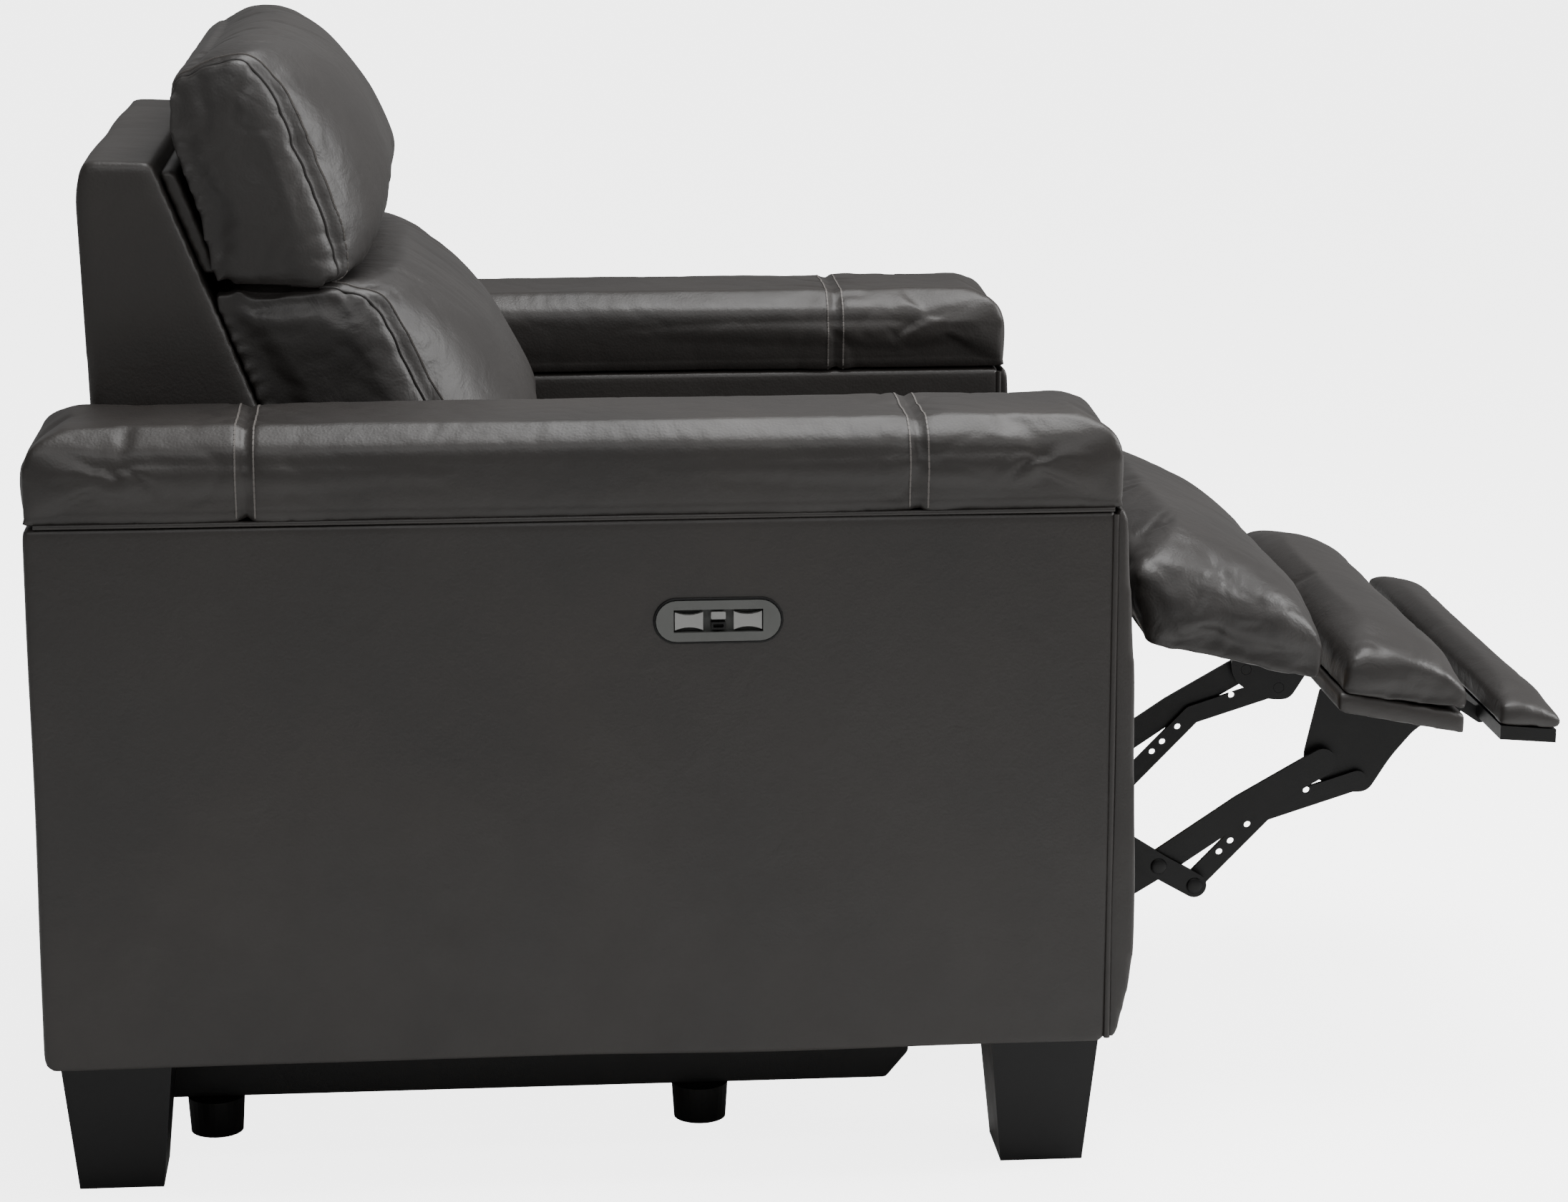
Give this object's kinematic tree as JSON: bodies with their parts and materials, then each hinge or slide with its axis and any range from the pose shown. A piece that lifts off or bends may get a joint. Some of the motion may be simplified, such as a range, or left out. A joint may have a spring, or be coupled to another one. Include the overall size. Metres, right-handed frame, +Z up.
{
  "type": "power recliner armchair",
  "caption": "Wide leather armchair with a powered back, a headrest and a scissor-linked footrest, shown with the footrest open.",
  "frame": {"origin": "on the floor, under the middle of the open chair's box", "axes": "+Z up, the chair faces -Y, +X to the sitter's left"},
  "size_m": [0.856, 1.315, 0.9466],
  "materials": {
    "leather": "semi-gloss grained leather over foam",
    "plywood": "bare",
    "leg_wood": "black satin lacquer",
    "black_plastic": "satin",
    "black_steel": "black satin",
    "zinc_steel": "bright zinc",
    "bezel_plastic": "satin grey",
    "key_plastic": "satin light grey"
  },
  "bodies": {
    "base": {"arm_cover_right": "leather", "arm_cover_left": "leather", "arm_front_right": "leather", "arm_front_left": "leather", "arm_top_right": "leather", "arm_top_left": "leather", "arm_frame_right": "plywood", "arm_frame_left": "plywood", "leg_front_right": "leg_wood", "leg_front_left": "leg_wood", "leg_rear_right": "leg_wood", "leg_rear_left": "leg_wood", "foot_front_right": "black_plastic", "foot_front_left": "black_plastic", "foot_rear_right": "black_plastic", "foot_rear_left": "black_plastic", "base_side_plate_right": "black_steel", "base_side_plate_left": "black_steel", "cross_tube_rear": "black_steel", "cross_tube_front": "black_steel", "rear_panel": "leather", "power_supply": "black_plastic", "recline_motor": "black_plastic", "control_bezel": "bezel_plastic", "usb_socket": "black_plastic"},
    "seat": {"seat_frame": "plywood", "seat_runner_right": "zinc_steel", "seat_runner_left": "zinc_steel", "seat_spring_1": "zinc_steel", "seat_spring_2": "zinc_steel", "seat_spring_3": "zinc_steel", "seat_cushion": "leather", "pivot_plate_right": "black_steel", "pivot_plate_left": "black_steel", "footrest_motor": "black_plastic"},
    "front_links": {"front_link_assembly": "black_steel"},
    "rear_links": {"rear_link_right": "black_steel", "rear_link_left": "black_steel"},
    "outer_links": {"outer_link_right": "black_steel", "outer_link_left": "black_steel"},
    "inner_links": {"inner_link_right": "black_steel", "inner_link_left": "black_steel"},
    "footrest": {"footrest_bracket_right": "black_steel", "footrest_bracket_left": "black_steel", "footrest_board": "leather", "footrest_pad": "leather"},
    "flipper": {"flipper_board": "black_steel", "flipper_pad": "leather"},
    "mid_pad": {"mid_pad": "leather"},
    "backrest": {"back_frame": "plywood", "back_shell": "leather", "back_cushion": "leather", "back_bracket_right": "zinc_steel", "back_bracket_left": "zinc_steel"},
    "headrest": {"headrest_board": "leather", "headrest_pad": "leather"},
    "recline_rocker": {"recline_rocker": "key_plastic"},
    "headrest_rocker": {"headrest_rocker": "key_plastic"},
    "home_button": {"home_button": "key_plastic"}
  },
  "joints": [
    {"name": "footrest_fold", "type": "hinge", "parent": "seat", "child": "front_links", "pos_m": [0, -0.1745, 0.284], "axis": [1, 0, 0], "range_deg": [0, 86]},
    {"name": "rear_link", "type": "hinge", "parent": "seat", "child": "rear_links", "pos_m": [0, -0.1295, 0.257], "axis": [1, 0, 0], "range_deg": [0, 86]},
    {"name": "outer_link", "type": "hinge", "parent": "front_links", "child": "outer_links", "pos_m": [0, -0.3125, 0.195], "axis": [1, 0, 0], "range_deg": [-86, 0]},
    {"name": "inner_link", "type": "hinge", "parent": "front_links", "child": "inner_links", "pos_m": [0, -0.3455, 0.176], "axis": [1, 0, 0], "range_deg": [-86, 0]},
    {"name": "footrest", "type": "hinge", "parent": "outer_links", "child": "footrest", "pos_m": [0, -0.4605, 0.287], "axis": [1, 0, 0], "range_deg": [0, 86]},
    {"name": "flipper", "type": "hinge", "parent": "footrest", "child": "flipper", "pos_m": [0, -0.5825, 0.34], "axis": [1, 0, 0], "range_deg": [0, 86]},
    {"name": "mid_pad", "type": "hinge", "parent": "seat", "child": "mid_pad", "pos_m": [0, -0.2785, 0.432], "axis": [1, 0, 0], "range_deg": [0, 70.01]},
    {"name": "seat_slide", "type": "slide", "parent": "base", "child": "seat", "axis": [0, 1, 0], "range_m": [0, 0.07]},
    {"name": "back_recline", "type": "hinge", "parent": "base", "child": "backrest", "pos_m": [0, 0.4675, 0.345], "axis": [-1, 0, 0], "range_deg": [0, 35]},
    {"name": "headrest_tilt", "type": "hinge", "parent": "backrest", "child": "headrest", "pos_m": [0, 0.4925, 0.752], "axis": [1, 0, 0], "range_deg": [0, 20]},
    {"name": "recline_rocker", "type": "hinge", "parent": "base", "child": "recline_rocker", "pos_m": [-0.4245, 0.1235, 0.487], "axis": [0, 0, 1], "range_deg": [-4, 4], "stiffness_Nm_per_rad": 0.3},
    {"name": "headrest_rocker", "type": "hinge", "parent": "base", "child": "headrest_rocker", "pos_m": [-0.4245, 0.0755, 0.487], "axis": [0, 0, 1], "range_deg": [-4, 4], "stiffness_Nm_per_rad": 0.3},
    {"name": "home_button", "type": "slide", "parent": "base", "child": "home_button", "axis": [1, 0, 0], "range_m": [0, 0.0015], "stiffness_N_per_m": 800}
  ],
  "couplings": [
    {"joint": "rear_link", "follows": "footrest_fold", "ratio": 1},
    {"joint": "outer_link", "follows": "footrest_fold", "ratio": -1},
    {"joint": "inner_link", "follows": "footrest_fold", "ratio": -1},
    {"joint": "footrest", "follows": "footrest_fold", "ratio": 1},
    {"joint": "flipper", "follows": "footrest_fold", "ratio": 1},
    {"joint": "mid_pad", "follows": "footrest_fold", "ratio": 0.814},
    {"joint": "seat_slide", "follows": "footrest_fold", "m_per_rad": 0.0466}
  ]
}
